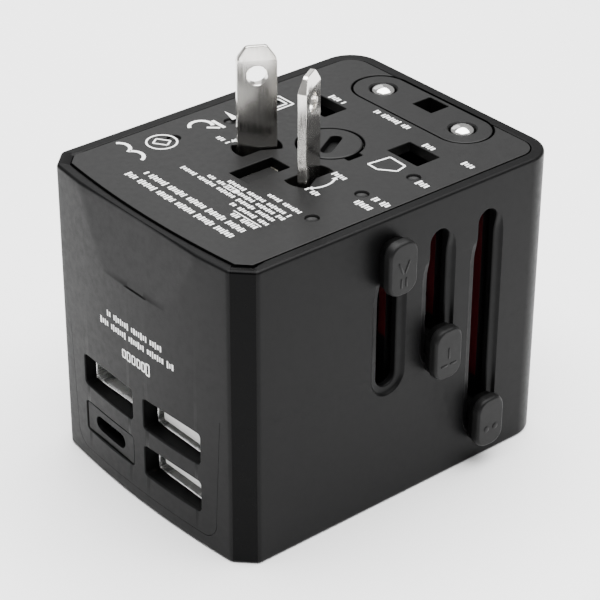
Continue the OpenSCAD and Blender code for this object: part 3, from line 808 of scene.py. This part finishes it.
def bow_tie(side):
    """Outline swept by a blade that turns from the American to the Australian position."""
    radius, half = 4.0 * MM, 1.25 * MM
    spread = math.degrees(math.asin(half / radius))
    half_turn = BLADE_TURN / 2
    waist = Vector((math.cos(half_turn), math.sin(half_turn))) * (half / math.cos(half_turn) * 1.02)
    points = arc(0, 0, radius, 90 - spread, 120 + spread, 12)
    points.append(-waist)
    points += arc(0, 0, radius, 270 - spread, 300 + spread, 12)
    points.append(waist)
    centre = BLADE_CENTRES[side]
    if side > 0:
        return [p + Vector(centre) for p in points]
    return [Vector((-p.x, p.y)) + Vector(centre) for p in reversed(points)]


DIMPLES = ((17.0, -12.5), (16.0, -1.8), (17.0, 7.9))
# radius and depth of a dimple from its mouth down
DIMPLE_SHAPE = ((1.35, -0.2), (1.2, 0.0), (1.14, 0.06), (1.04, 0.42), (0.85, 0.54), (0.3, 0.6))


def pin_plate():
    """Plate with the openings for every pin, the fuse cap and the oval block, and its dimples."""
    edge = ((0, PLATE_Z), (0, TOP_Z - 0.16 * MM), (0.04 * MM, TOP_Z - 0.06 * MM), (0.16 * MM, TOP_Z))
    plate = loft("pin_plate", [outline_at(RIM + PLATE_GAP + inset, z) for inset, z in edge])

    def hole(loop, deep=4 * MM):
        boolean(plate, funnel("hole", loop, deep, from_top=True, level=TOP_Z))

    for side in (-1, 1):
        hole(bow_tie(side))
        line_pin = middle("uk_neutral_pin" if side < 0 else "uk_live_pin")
        hole(round_rect(3.48 * MM, 2.33 * MM, 0.15 * MM, centre=line_pin.xy))
    earth = (0.1 * MM, middle("uk_earth_pin").y + 0.1 * MM)
    hole(round_rect(2.25 * MM, 4.2 * MM, 0.12 * MM, centre=earth))
    hole(stadium(BLOCK_RUN, BLOCK_R + BLOCK_GAP, centre=BLOCK_CENTRE, steps=24))
    notch = round_rect(0.75 * MM, 1.5 * MM, 0.3 * MM, centre=(5.7 * MM, FUSE_CENTRE[1] - 0.2 * MM))
    hole(notch, 0.8 * MM)
    hole(circle(5.52 * MM, (FUSE_CENTRE[0] + 0.08 * MM, FUSE_CENTRE[1] - 0.05 * MM), 96))
    for x, y in DIMPLES:
        for side in (-1, 1):
            centre = (side * x * MM, y * MM)
            boolean(plate, loft("dimple", [at_z(circle(radius * MM, centre, 32), TOP_Z - depth * MM)
                                           for radius, depth in DIMPLE_SHAPE]))
    smooth(plate)
    return plate


def fuse_lid():
    """Round fuse cap with a coin slot."""
    low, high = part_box("fuse_cap")
    radius = (high.x - low.x) / 2
    rings = [at_z(circle(r, FUSE_CENTRE, 96), z) for r, z in
             ((2.9 * MM, low.z), (2.9 * MM, PLATE_Z), (radius, PLATE_Z), (radius, TOP_Z - 0.3 * MM),
              (radius - 0.06 * MM, TOP_Z - 0.12 * MM), (radius - 0.25 * MM, TOP_Z))]
    lid = loft("fuse_lid", rings)
    slot = turned(stadium(2.2 * MM, 0.95 * MM, steps=12), (0.4 * MM, 5.4 * MM), math.radians(120))
    boolean(lid, funnel("coin_slot", slot, 1.2 * MM, from_top=True, level=TOP_Z))
    smooth(lid)
    return lid


def eu_pin_block():
    """Oval block that the two round European pins stand in."""
    low, high = EU_BLOCK
    rings = []
    for inset, z in ((0, low.z), (0, high.z - 0.3 * MM), (0.07 * MM, high.z - 0.1 * MM), (0.25 * MM, high.z)):
        rings.append(at_z(stadium(BLOCK_RUN, BLOCK_R - inset, centre=BLOCK_CENTRE, steps=32), z))
    body = loft("pin_block", rings)
    for node in ("eu_neutral_pin", "eu_live_pin"):
        mouth = ((2.2, low.z - MM), (2.2, high.z - 0.5 * MM), (2.3, high.z - 0.2 * MM), (2.5, high.z),
                 (2.7, high.z + 0.2 * MM))
        place = middle(node).xy
        boolean(body, loft("pin_hole", [at_z(circle(radius * MM, place, 48), z) for radius, z in mouth]))
    guide = round_rect(2.25 * MM, 1.92 * MM, 0.12 * MM, centre=(0, 27.05 * MM))
    boolean(body, funnel("guide_hole", guide, 11 * MM, from_top=True, level=high.z))
    smooth(body)
    return body


# ---------------------------------------------------------------- pins and blades


def thin_tip(piece, start, end, share):
    """Slopes both flat sides in towards the tip, from start up to end."""
    work = bmesh.new()
    work.from_mesh(piece.data)
    bmesh.ops.bisect_plane(work, geom=list(work.faces) + list(work.edges) + list(work.verts),
                           plane_co=(0, 0, start), plane_no=(0, 0, 1))
    for vert in work.verts:
        if vert.co.z > start:
            vert.co.x *= 1 - share * (vert.co.z - start) / (end - start)
    work.to_mesh(piece.data)
    work.free()


def blade_piece(side):
    """A blade with chamfered tip corners, eased edges and a drilled hole."""
    node = "left_blade" if side < 0 else "right_blade"
    low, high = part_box(node)
    half_w, half_t, tang = 3.175 * MM, 0.75 * MM, 2.2 * MM
    shoulder, hole_z, chamfer_z = 47.8 * MM, 64.6 * MM, high.z - 2.1 * MM
    corner, edge = 1.5 * MM, 0.16 * MM
    right = [Vector((tang, low.z)), Vector((tang, shoulder)), Vector((half_w, shoulder)),
             Vector((half_w, chamfer_z)), Vector((half_w - corner, high.z))]
    left = [Vector((-p.x, p.y)) for p in right]
    loop = soften(left[:1] + right + left[:0:-1], {4, 5, 6, 7}, 0.55 * MM, 4)
    sides = ((edge, half_t), (edge * 0.3, half_t - edge * 0.3), (0, half_t - edge))
    rings = [at_x(offset_loop(loop, inset), -x) for inset, x in sides]
    rings += [at_x(offset_loop(loop, inset), x) for inset, x in sides[::-1]]
    piece = loft(node + "_metal", rings)
    bore = ((1.9, -1.0), (1.72, -0.76), (1.62, -0.66), (1.6, -0.5), (1.6, 0.5), (1.62, 0.66), (1.72, 0.76),
            (1.9, 1.0))
    boolean(piece, loft("bore", [at_x(circle(radius * MM, (0, hole_z), 48), x * MM) for radius, x in bore]))
    thin_tip(piece, high.z - 2.3 * MM, high.z, 0.5)
    place = Matrix.Translation((*BLADE_CENTRES[side], 0))
    piece.data.transform(place @ Matrix.Rotation(side * BLADE_TURN, 4, "Z"))
    smooth(piece)
    return piece


def round_pin(node):
    """A round European pin with a domed tip, turned on a lathe."""
    low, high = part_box(node)
    radius = (high.x - low.x) / 2
    dome, neck, shoulder = 1.0 * MM, 1.5 * MM, low.z + 3.6 * MM
    profile = [(neck, low.z), (neck, shoulder), (radius, shoulder), (radius, high.z - dome)]
    for k in range(1, 9):
        angle = math.pi / 2 * k / 9
        profile.append((radius * math.cos(angle), high.z - dome + dome * math.sin(angle)))
    profile.append((0.02 * MM, high.z))
    piece = loft(node + "_metal", [at_z(circle(r, middle(node).xy, 48), z) for r, z in profile])
    smooth(piece)
    return piece


# ---------------------------------------------------------------- knobs


# raised marks in mm and degrees: y and z from the knob's middle, half length (0 for a dot) and turn
MARKS = {
    "aus_us_knob": [(-0.62, 0.3, 1.15, 24), (0.62, 0.3, 1.15, -24), (-0.5, -2.3, 0.85, 0),
                    (0.5, -2.3, 0.85, 0)],
    "uk_knob": [(0, 0.2, 1.0, 0), (-0.95, -1.9, 0.7, 90), (0.95, -1.9, 0.7, 90)],
    "eu_knob": [(-0.95, -1.1, 0.0, 0), (0.95, -1.1, 0.0, 0)],
}


def knob_piece(node):
    """Knob with a narrower root, soft front edges and raised marks of the pins that it moves."""
    low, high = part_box(node)
    y, z = middle(node).yz
    half_y, half_z = (high.y - low.y) / 2, (high.z - low.z) / 2
    back, front = HALF_W + 0.2 * MM, high.x - 0.07 * MM
    profile = ((0.5, back), (0.42, back + 0.12 * MM), (0.36, back + 1.15 * MM), (0.12, back + 1.4 * MM),
               (0.16, front - 0.62 * MM), (0.26, front - 0.3 * MM), (0.4, front - 0.1 * MM), (0.6, front))
    rings = []
    for inset, x in profile:
        inset *= MM
        loop = round_rect(half_y - inset, half_z - inset, 2.3 * MM - inset * 0.6, steps=10, centre=(y, z))
        rings.append(at_x(loop, x))
    knob = loft(node + "_cap", rings)
    w, h, cut = NECK_HALF_W, NECK_HALF_H, NECK_CUT
    neck = [(cut - w, -h), (w - cut, -h), (w, cut - h), (w, h - cut), (w - cut, h), (cut - w, h),
            (-w, h - cut), (-w, cut - h)]
    stem = loft("neck", [[Vector((x, y + py, z + pz)) for py, pz in neck] for x in (low.x, back + 0.5 * MM)])
    boolean(knob, stem, "UNION")
    for dy, dz, half, turn in MARKS[node]:
        rings = []
        for inset, x in ((0, front - 0.3 * MM), (0, high.x - 0.02 * MM), (0.03 * MM, high.x)):
            if half:
                loop = stadium((half - 0.2) * MM, 0.2 * MM - inset, upright=True, steps=6)
            else:
                loop = circle(0.55 * MM - inset, steps=24)
            rings.append(at_x(turned(loop, (y + dy * MM, z + dz * MM), math.radians(turn)), x))
        boolean(knob, loft("mark", rings), "UNION")
    smooth(knob, 40)
    return knob


# ---------------------------------------------------------------- USB ports


def usb_shell(node):
    """Pressed steel shell with rolled lips, open to the front."""
    low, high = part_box(node)
    centre = middle(node)
    half_w, half_h = (high.x - low.x) / 2, (high.z - low.z) / 2
    t, radius = 0.3 * MM, 0.6 * MM

    def ring(inset, y):
        loop = round_rect(half_w - inset, half_h - inset, radius - inset, steps=5, centre=centre.xz)
        return at_y(loop, y)

    shell = loft(node + "_steel", [ring(0, high.y), ring(0, low.y + 0.08 * MM), ring(0.08 * MM, low.y),
                                   ring(0.2 * MM, low.y + 0.05 * MM), ring(t, low.y + 0.5 * MM),
                                   ring(t, high.y - t)])
    section = ((-0.7, 0), (0.7, 0), (0.7, 0.2), (-0.7, 0.2))
    bend = ((9.6, 0), (7.2, 0.5), (6.2, 0.62), (5.4, 0.4))
    for x in (centre.x - 3.1 * MM, centre.x + 3.1 * MM):
        for sign in (-1, 1):
            z = centre.z + sign * half_h
            boolean(shell, block("window", (x - 0.9 * MM, low.y + 5 * MM, z - 0.6 * MM),
                                 (x + 0.9 * MM, low.y + 9.5 * MM, z + 0.6 * MM)))
            leaf = [[Vector((x + dx * MM, low.y + back * MM, z - sign * (0.15 + drop + dz) * MM))
                     for dx, dz in section] for back, drop in bend]
            boolean(shell, loft("leaf", leaf), "UNION")
    smooth(shell)
    return shell


# height of each tongue's middle over its port's middle, and how far it is set back
TONGUES = {"usb_a_insert_1": (-0.2, 0.7), "usb_a_insert_2": (-0.85, 0.0), "usb_a_insert_3": (-0.3, 0.0)}


def usb_tongue(node):
    """White insulator of a USB-A port: a back block and the tongue that carries the contacts."""
    low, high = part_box(node)
    centre = middle(node)
    x0, z0, x1, z1 = (low.x + 0.05 * MM, low.z + 0.05 * MM, high.x - 0.05 * MM, high.z - 0.05 * MM)
    face = [Vector((x0, z0)), Vector((x1, z0)), Vector((x1, z1)), Vector((x0, z1))]
    back = loft(node + "_white", [at_y(face, y) for y in (high.y, high.y - 2.2 * MM)])
    shift, back_by = TONGUES[node]
    loop = round_rect(5.55 * MM, 0.92 * MM, 0.3 * MM, centre=centre.xz + Vector((0, shift * MM)))
    front = low.y + back_by * MM
    profile = ((0, high.y - MM), (0, front + 0.2 * MM), (0.06 * MM, front + 0.04 * MM), (0.12 * MM, front))
    boolean(back, loft("tongue", [at_y(offset_loop(loop, inset), y) for inset, y in profile]), "UNION")
    smooth(back)
    return back


def usb_contacts(node):
    """Four gold contact strips on a USB-A tongue."""
    low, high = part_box(node)
    shift, back_by = TONGUES[node]
    centre = middle(node)
    z = centre.z + (shift + 0.92) * MM
    front = low.y + back_by * MM
    verts, faces = [], []
    for offset in (-3.5, -1.0, 1.0, 3.5):
        x = centre.x + offset * MM
        start = len(verts)
        for y, rise in ((high.y - 2.4 * MM, 0.0), (front + 3.0 * MM, 0.0), (front + 1.2 * MM, 0.18 * MM),
                        (front + 0.7 * MM, 0.05 * MM)):
            for dx, dz in ((-0.5, -0.05), (0.5, -0.05), (0.5, 0.12), (-0.5, 0.12)):
                verts.append(Vector((x + dx * MM, y, z + rise + dz * MM)))
        for level in range(3):
            for k in range(4):
                m = (k + 1) % 4
                faces.append((start + 4 * level + k, start + 4 * level + m,
                              start + 4 * level + 4 + m, start + 4 * level + 4 + k))
        faces.append(tuple(start + k for k in range(4)))
        faces.append(tuple(start + 12 + k for k in range(4)))
    piece = make_object(node + "_contacts", verts, faces)
    smooth(piece)
    return piece


def bezel_piece():
    """Black filler round the USB-C port, almost level with the housing."""
    centre = middle("usb_c_bezel")
    base = densify(round_rect(PORT_HALF_W, PORT_HALF_H, 0.5 * MM, centre=centre.xz), LOOP_STEP)
    rings = [at_y(offset_loop(base, 0.06 * MM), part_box("usb_c_bezel")[1].y)]
    rings += [on_bulge(offset_loop(base, inset * MM), depth * MM)
              for inset, depth in ((0.06, 0.6), (0.08, 0.3), (0.2, 0.16))]
    piece = loft("usb_c_surround", rings)
    base = densify(stadium(2.85 * MM, 1.3 * MM, centre=centre.xz), LOOP_STEP)
    mouth = ((0.4, -0.2), (0.12, 0.1), (0.04, 0.2), (0.0, 0.35), (0.0, 5))
    boolean(piece, loft("mouth", [on_bulge(offset_loop(base, -out * MM), depth * MM)
                                  for out, depth in mouth]))
    smooth(piece)
    return piece


# ---------------------------------------------------------------- print


def flat_marks(name, loops, place):
    """Thin raised shapes; place(point, raised) puts a 2D point on the surface, sunk or raised."""
    verts, faces = [], []
    for loop in loops:
        start, count = len(verts), len(loop)
        verts += [place(p, False) for p in loop] + [place(p, True) for p in loop]
        faces += [(start + i, start + (i + 1) % count, start + count + (i + 1) % count, start + count + i)
                  for i in range(count)]
        faces += [tuple(range(start, start + count)), tuple(range(start + count, start + 2 * count))]
    return make_object(name, verts, faces)


def on_plate(point, raised):
    """A point of the plate's print, in mm, a little over or under the plate's face."""
    return Vector((point.x * MM, point.y * MM, TOP_Z + (0.012 if raised else -0.03) * MM))


def on_front(point, raised):
    """A point of the USB side's print, in mm, a little in front of or behind its face."""
    x = point.x * MM
    return Vector((x, bulge_y(x) + (-0.004 if raised else 0.04) * MM, point.y * MM))


def strokes(x0, x1, y, height, first):
    """A row of short upright strokes in groups, which stand for small print without being letters."""
    out = []
    x, count = x0, first
    while x < x1:
        count += 1
        tall = height * (0.74, 1.0, 0.66, 0.88, 0.7)[count % 5]
        wide = (0.3, 0.42, 0.34)[count % 3]
        out.append([Vector((px, py)) for px, py in ((x, y - tall / 2), (x + wide, y - tall / 2),
                                                    (x + wide, y + tall / 2), (x, y + tall / 2))])
        x += wide + (0.85 if count % 7 == 4 else 0.24)
    return out


def line(points, width):
    """Outline of a line of even width through points, with square ends."""
    left, right = [], []
    for i, p in enumerate(points):
        before = points[max(i - 1, 0)]
        after = points[min(i + 1, len(points) - 1)]
        across = Vector((before.y - after.y, after.x - before.x)).normalized() * (width / 2)
        left.append(Vector(p) + across)
        right.append(Vector(p) - across)
    return right + left[::-1]


def polyline(*points):
    return [Vector(p) for p in points]


def square_loop(half, centre):
    return turned(polyline((-half, -half), (half, -half), (half, half), (-half, half)), centre, 0)


def shut(points, width):
    """A closed line, made of one piece for each side."""
    return [line([points[i], points[(i + 1) % len(points)]], width) for i in range(len(points))]


def arrow(points, width, head):
    """A curved line with an arrow head on both ends."""
    out = [line(points, width)]
    for tip, back in ((points[0], points[1]), (points[-1], points[-2])):
        along = (tip - back).normalized()
        across = Vector((-along.y, along.x))
        out.append([tip + along * head, tip - across * head * 0.7, tip + across * head * 0.7])
    return out


# rows of small print in mm: start, end and middle across the row, height, and which stroke comes first
PLATE_ROWS = (
    (-12.0, 13.9, -25.2, 1.35, 0), (-10.4, 13.9, -22.9, 1.35, 3), (8.4, 14.2, -20.85, 1.2, 1),
    (5.8, 14.4, -18.95, 0.95, 2), (-8.3, 14.4, -17.45, 0.95, 5), (-3.5, 14.4, -16.05, 0.95, 1),
    (-0.1, 14.4, -14.75, 0.95, 4), (7.2, 14.4, -12.85, 0.95, 6), (-12.8, -9.6, 16.6, 1.3, 0),
    (9.9, 12.9, 16.6, 1.3, 0), (-4.0, 4.3, 18.6, 1.3, 2), (18.3, 21.3, 17.1, 1.3, 0),
    (18.5, 21.5, 7.35, 1.5, 0), (18.2, 21.2, -1.35, 1.5, 2), (17.2, 20.7, -4.0, 1.5, 4),
    (-12.9, -10.2, -6.9, 1.2, 1), (9.3, 12.3, -7.15, 1.2, 3), (8.1, 10.7, -0.65, 1.2, 5),
)
FRONT_ROWS = ((-9.7, 9.4, 30.0, 1.25, 0), (-7.7, 6.2, 32.0, 1.25, 2))


def print_rows(rows):
    return [loop for row in rows for loop in strokes(*row)]


def plate_print():
    """Rows of strokes and plain marks on the plate, where the object has its print."""
    loops = print_rows(PLATE_ROWS)
    loops.append(line(polyline((7.8, -20.05), (14.3, -20.05)), 0.2))
    loops.append(round_rect(1.5, 0.55, 0.3, centre=(2.2, -16.05)))
    loops += arrow(arc(6.4, -4.2, 4.1, -32, 34, 10), 0.35, 0.75)
    loops += arrow(arc(-6.4, -4.2, 4.1, 148, 200, 10), 0.35, 0.75)
    badge = (-17.1, -14.8)
    ring = circle(2.45, badge, 48)
    loops += [line(ring[:25], 0.32), line(ring[24:] + ring[:1], 0.32)]
    loops += shut(turned(polyline((-1.2, -0.8), (1.2, -0.8), (1.2, 0.8), (-1.2, 0.8)), badge, 0.6), 0.3)
    loops += [line(arc(x, -21.6, 2.0, 20, 150, 10), 0.6) for x in (-19.6, -16.0)]
    loops.append(line(arc(-17.6, -6.6, 1.9, 60, 250, 12), 0.6))
    loops.append(line(polyline((-18.0, -4.0), (-14.8, -4.0)), 0.6))
    loops.append(line(polyline((-16.6, -6.2), (-15.2, -4.6)), 0.5))
    loops.append(polyline((-19.4, -0.4), (-16.2, -1.3), (-16.2, -0.1)))
    for half in (1.1, 1.9):
        loops += shut(square_loop(half, (-16.3, 8.1)), 0.3)
    loops += shut(polyline((9.2, 5.4), (11.4, 5.3), (13.9, 7.3), (13.4, 9.4), (9.7, 9.6)), 0.32)
    return flat_marks("plate_print", loops, on_plate)


def front_print():
    """Two rows of strokes and a row of hollow boxes on the USB side, where the object has its print."""
    loops = print_rows(FRONT_ROWS)
    middle_z, wide = 26.6, 0.75
    for x, height in ((-3.7, 1.3), (-2.5, 1.5), (-1.2, 1.4), (0.1, 1.4), (1.3, 1.5), (2.4, 2.0)):
        low, high = middle_z - height / 2, middle_z + height / 2
        loops += shut(polyline((x, low), (x + wide, low), (x + wide, high), (x, high)), 0.28)
    return flat_marks("front_print", loops, on_front)


# ---------------------------------------------------------------- build

for make_shell, shell_node in ((upper_shell, "upper_housing"), (lower_shell, "lower_housing")):
    housing = finish_piece(make_shell(), "housing", HOUSING, [shell_node])
    housing.data.materials.append(STRIP)
    corner_strips(housing)
finish_piece(plate_print(), "housing", INK)
finish_piece(front_print(), "housing", INK)
finish_piece(pin_plate(), "housing", PLATE, ["pin_face_plate"])
finish_piece(fuse_lid(), "fuse_lid", PLATE, ["fuse_cap"])
finish_piece(eu_pin_block(), "eu_pin_block", PLATE, ["eu_block"])
for blade_side, blade_node in ((-1, "left_blade"), (1, "right_blade")):
    finish_piece(blade_piece(blade_side), blade_node + "_unit", NICKEL, [blade_node])
for pin_node in ("eu_live_pin", "eu_neutral_pin"):
    finish_piece(round_pin(pin_node), "eu_slider", TIP, [pin_node])
for kind in ("aus_us", "uk", "eu"):
    finish_piece(knob_piece(kind + "_knob"), kind + "_slider", KNOB, [kind + "_knob"])
for number in (1, 2, 3):
    shell_node, insert_node = f"usb_a_port_{number}", f"usb_a_insert_{number}"
    finish_piece(usb_shell(shell_node), "housing", STEEL, [shell_node])
    finish_piece(usb_tongue(insert_node), "housing", PORT_WHITE, [insert_node])
    finish_piece(usb_contacts(insert_node), "housing", GOLD)
finish_piece(bezel_piece(), "housing", PORT_BLACK, ["usb_c_bezel"])

CARRIED = {
    "insulating_partition": INNER, "guide_frame": RED, "aus_us_carrier": INNER, "uk_carrier": INNER,
    "eu_carrier": INNER, "fuse_clip": INNER, "left_blade_hub": NYLON, "right_blade_hub": NYLON,
    "uk_live_pin": NICKEL, "uk_neutral_pin": NICKEL, "uk_earth_pin": TOP_PIN, "uk_pin_sleeves": SLEEVE,
    "fuse_tube": GLASS, "fuse_end_caps": NICKEL, "live_busbar": BRASS, "neutral_busbar": BRASS,
    "live_contact": BRASS, "neutral_contact": BRASS, "safety_shutter": SHUTTER,
    "shutter_spring": STEEL, "usb_circuit_board": BOARD, "usb_c_port": STEEL, "usb_c_insert": PORT_BLACK,
    "transformer": TAPE, "transformer_core": FERRITE, "capacitors": CAPACITOR, "housing_screws": STEEL,
}
for node_name, node_material in CARRIED.items():
    node_object = frame["nodes"][node_name]
    node_object.data.materials.clear()
    node_object.data.materials.append(node_material)
    bevelled(node_object, 0.12 * MM)

# ---------------------------------------------------------------- stage

CAMERA_AZIMUTH = math.radians(50.04)
CAMERA_ELEVATION = math.radians(30.87)
CAMERA_ROLL = math.radians(0.27)
CAMERA_PLACE = Vector((244.15, -205.09, 215.82)) * MM
CAMERA_LENS = 137.2


def add_camera():
    """Camera at the place and angle of the product photograph."""
    a, e = CAMERA_AZIMUTH, CAMERA_ELEVATION
    back = Vector((math.sin(a) * math.cos(e), -math.cos(a) * math.cos(e), math.sin(e)))
    right = Vector((math.cos(a), math.sin(a), 0))
    up = back.cross(right)
    c, s = math.cos(CAMERA_ROLL), math.sin(CAMERA_ROLL)
    axes = Matrix((right * c + up * s, up * c - right * s, back)).transposed()
    data = bpy.data.cameras.new("camera")
    data.lens = CAMERA_LENS
    data.sensor_width = 36
    data.clip_start, data.clip_end = 0.01, 20
    camera = bpy.data.objects.new("camera", data)
    camera.matrix_world = Matrix.Translation(CAMERA_PLACE) @ axes.to_4x4()
    bpy.context.scene.collection.objects.link(camera)
    bpy.context.scene.camera = camera


def area_light(name, place, target, size, watts):
    data = bpy.data.lights.new(name, "AREA")
    data.shape = "RECTANGLE"
    data.size, data.size_y = size
    data.energy = watts
    light = bpy.data.objects.new(name, data)
    light.location = place
    light.rotation_mode = "QUATERNION"
    light.rotation_quaternion = (Vector(target) - Vector(place)).to_track_quat("-Z", "Y")
    bpy.context.scene.collection.objects.link(light)


def add_floor():
    """Plain pale floor."""
    half = 3.0
    floor = make_object("floor", [(-half, -half, 0), (half, -half, 0), (half, half, 0), (-half, half, 0)],
                        [(0, 1, 2, 3)])
    n = Nodes("floor_paper")
    n.link(n.mix(n.noise(30, 2), (0.95, 0.95, 0.95), (0.97, 0.97, 0.97)), n.shader.inputs["Base Color"])
    n.set(Roughness=0.8, Specular_IOR_Level=0.1)
    floor.data.materials.append(n.material)


def add_world(strength):
    world = bpy.data.worlds.new("studio")
    world.use_nodes = True
    world.node_tree.nodes["Background"].inputs["Color"].default_value = (1, 1, 1, 1)
    world.node_tree.nodes["Background"].inputs["Strength"].default_value = strength
    bpy.context.scene.world = world


add_camera()
add_floor()
add_world(0.42)
area_light("overhead", (0.0, 0.1, 1.4), (0, 0, 0), (1.8, 1.8), 105)
area_light("plate_box", (-0.17, 0.085, 0.15), (-0.01, -0.015, 0.05), (0.12, 0.12), 0.05)
area_light("side_box", (0.25, 0.14, 0.11), (0.02, 0.02, 0.03), (0.12, 0.12), 0.05)
